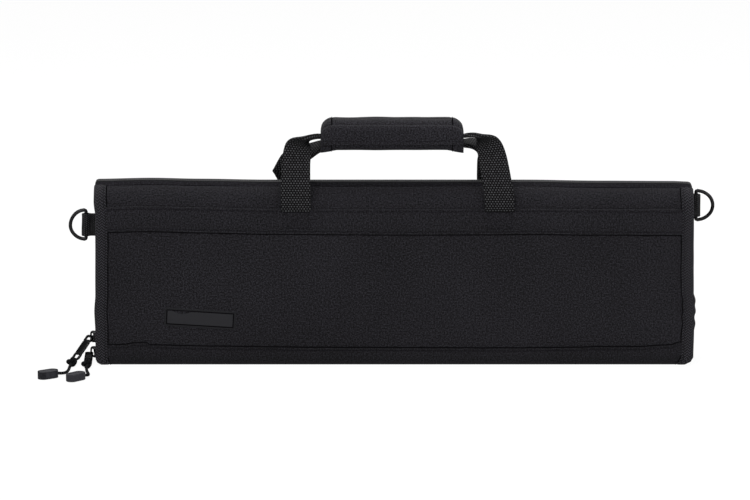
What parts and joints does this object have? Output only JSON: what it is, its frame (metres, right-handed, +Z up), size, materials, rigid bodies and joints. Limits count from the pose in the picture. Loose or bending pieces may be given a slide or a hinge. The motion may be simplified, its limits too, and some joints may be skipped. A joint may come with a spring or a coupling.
{
  "type": "soft knife case",
  "caption": "Soft padded case for kitchen knives: long upright body with rounded top, zip round three sides, webbing handles in a wrapped grip, end rings and pockets inside.",
  "frame": {"origin": "middle of the spine's underside, on the surface that the closed case stands on", "axes": "+X along the case to the right as seen from the front, +Y towards the rear cover, +Z up to the handle"},
  "size_m": [0.5763, 0.1108, 0.21],
  "materials": {
    "canvas": "black woven polyester canvas, matt",
    "trim_canvas": "black woven polyester canvas, doubled and topstitched",
    "binding_tape": "black twill tape with a slight sheen",
    "webbing": "black ribbed polypropylene webbing with a soft shine",
    "lining_cloth": "smooth black nylon lining",
    "mesh_cloth": "black knitted mesh",
    "elastic": "black woven elastic, matt",
    "foam": "grey closed-cell foam",
    "board": "stiff plastic sheet",
    "zip_tape": "black woven zip tape",
    "zip_coil": "black nylon coil, satin",
    "black_metal": "glossy black coated metal",
    "closure_tape": "black hook-and-loop tape",
    "cord": "black braided cord",
    "badge_rubber": "black moulded soft rubber, satin",
    "pull_rubber": "dark grey moulded rubber, satin"
  },
  "bodies": {
    "spine": {"spine_panel": "canvas", "spine_board": "board"},
    "front_cover": {"front_panel": "canvas", "front_padding": "foam", "front_lining": "lining_cloth", "front_handle_band": "trim_canvas", "front_base_strip": "trim_canvas", "front_zip_tape": "zip_tape", "front_zip_coil": "zip_coil", "front_left_gusset": "canvas", "front_left_binding": "binding_tape", "front_right_gusset": "canvas", "front_right_binding": "binding_tape", "badge": "badge_rubber", "tool_sleeves": "lining_cloth", "tool_elastic": "elastic", "mesh_pocket": "mesh_cloth", "left_ring_tab": "webbing"},
    "rear_cover": {"rear_panel": "canvas", "rear_padding": "foam", "rear_lining": "lining_cloth", "rear_handle_band": "trim_canvas", "rear_base_strip": "trim_canvas", "rear_zip_tape": "zip_tape", "rear_zip_coil": "zip_coil", "rear_left_gusset": "canvas", "rear_left_binding": "binding_tape", "rear_right_gusset": "canvas", "rear_right_binding": "binding_tape", "knife_sleeves": "lining_cloth", "knife_elastic": "elastic", "right_ring_tab": "webbing"},
    "page": {"blade_page": "lining_cloth"},
    "left_ring": {"left_ring": "black_metal"},
    "right_ring": {"right_ring": "black_metal"},
    "front_handle": {"front_strap": "webbing", "front_grip_pad": "trim_canvas", "loop_strip": "closure_tape"},
    "rear_handle": {"rear_strap": "webbing", "rear_grip_pad": "trim_canvas"},
    "flap": {"grip_flap": "trim_canvas", "hook_strip": "closure_tape"},
    "upper_slider": {"upper_slider": "black_metal"},
    "lower_slider": {"lower_slider": "black_metal"},
    "upper_pull": {"upper_pull": "black_metal", "upper_knot": "cord", "upper_cord": "cord", "upper_cord_end": "pull_rubber"},
    "lower_pull": {"lower_pull": "black_metal", "lower_knot": "cord", "lower_cord": "cord", "lower_cord_end": "pull_rubber"}
  },
  "joints": [
    {"name": "front_cover_fold", "type": "hinge", "parent": "spine", "child": "front_cover", "pos_m": [0, -0.0175, 0.0048], "axis": [1, 0, 0], "range_deg": [0, 90]},
    {"name": "rear_cover_fold", "type": "hinge", "parent": "spine", "child": "rear_cover", "pos_m": [0, 0.0175, 0.0048], "axis": [-1, 0, 0], "range_deg": [0, 90]},
    {"name": "page_lean", "type": "hinge", "parent": "spine", "child": "page", "pos_m": [0, 0, 0.0062], "axis": [1, 0, 0], "range_deg": [0, 45]},
    {"name": "left_ring_swing", "type": "hinge", "parent": "front_cover", "child": "left_ring", "pos_m": [-0.2645, -0.008, 0.1198], "axis": [0, 0, 1], "range_deg": [-70, 70]},
    {"name": "right_ring_swing", "type": "hinge", "parent": "rear_cover", "child": "right_ring", "pos_m": [0.2605, 0.008, 0.1332], "axis": [0, 0, 1], "range_deg": [-70, 70]},
    {"name": "front_handle_fold", "type": "hinge", "parent": "front_cover", "child": "front_handle", "pos_m": [0, -0.0246, 0.1373], "axis": [1, 0, 0], "range_deg": [0, 165]},
    {"name": "rear_handle_fold", "type": "hinge", "parent": "rear_cover", "child": "rear_handle", "pos_m": [0, 0.0246, 0.1373], "axis": [-1, 0, 0], "range_deg": [0, 165]},
    {"name": "grip_flap_lift", "type": "hinge", "parent": "front_handle", "child": "flap", "pos_m": [0, -0.0147, 0.2062], "axis": [-1, 0, 0], "range_deg": [0, 120]},
    {"name": "upper_slider_travel", "type": "slide", "parent": "rear_cover", "child": "upper_slider", "axis": [0, 0, 1], "range_m": [0, 0.076]},
    {"name": "lower_slider_travel", "type": "slide", "parent": "rear_cover", "child": "lower_slider", "axis": [0, 0, 1], "range_m": [0, 0.002]},
    {"name": "upper_pull_lift", "type": "hinge", "parent": "upper_slider", "child": "upper_pull", "pos_m": [-0.2625, 0, 0.018], "axis": [-0.8832, 0.469, 0], "range_deg": [0, 70]},
    {"name": "lower_pull_lift", "type": "hinge", "parent": "lower_slider", "child": "lower_pull", "pos_m": [-0.2625, 0, 0.0044], "axis": [-0.9997, -0.0258, 0], "range_deg": [0, 22]}
  ],
  "couplings": [
    {"joint": "page_lean", "follows": "front_cover_fold", "ratio": 0.5}
  ]
}
